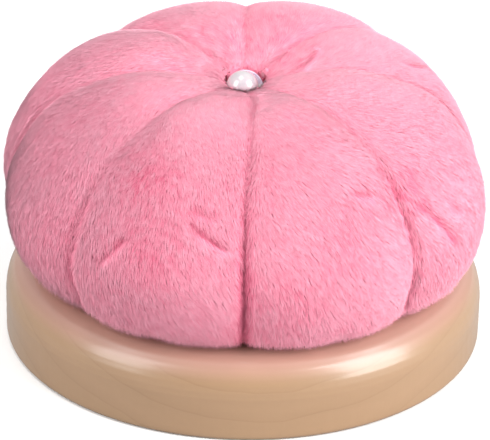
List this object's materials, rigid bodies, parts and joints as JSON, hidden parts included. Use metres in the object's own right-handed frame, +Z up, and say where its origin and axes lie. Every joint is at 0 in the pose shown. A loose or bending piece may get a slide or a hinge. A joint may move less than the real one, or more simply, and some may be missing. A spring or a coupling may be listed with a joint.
{
  "type": "pincushion",
  "caption": "Round plush pincushion in gathered segments with a pearl in the top dimple, glued into a shallow recess of a turned wooden base.",
  "frame": {"origin": "centre of the wooden base's underside, on the surface that it stands on", "axes": "+Z up along the base's axis, towards the pearl; -Y towards the front seam; +X to the right seen from the front"},
  "size_m": [0.0906, 0.0906, 0.055],
  "materials": {
    "wood": "clear satin varnish over pale turned wood",
    "glue": "set hot-melt glue",
    "plush": "short dense pile with a satin lie",
    "stuffing": "loose polyester fibre",
    "wrap_thread": "twisted polyester thread",
    "sewing_thread": "twisted polyester thread",
    "pearl": "pearl lacquer",
    "sequin": "clear iridescent film"
  },
  "bodies": {
    "root": {"wood_base": "wood", "glue_bed": "glue", "plush_cover": "plush", "fibre_fill": "stuffing", "rib_thread_1": "wrap_thread", "rib_thread_2": "wrap_thread", "rib_thread_3": "wrap_thread", "rib_thread_4": "wrap_thread", "rib_thread_5": "wrap_thread", "rib_thread_6": "wrap_thread", "rib_thread_7": "wrap_thread", "rib_thread_8": "wrap_thread", "gathering_thread": "sewing_thread", "centre_thread": "sewing_thread", "underside_knot": "sewing_thread", "pearl_bead": "pearl", "cup_sequin": "sequin"}
  },
  "joints": []
}
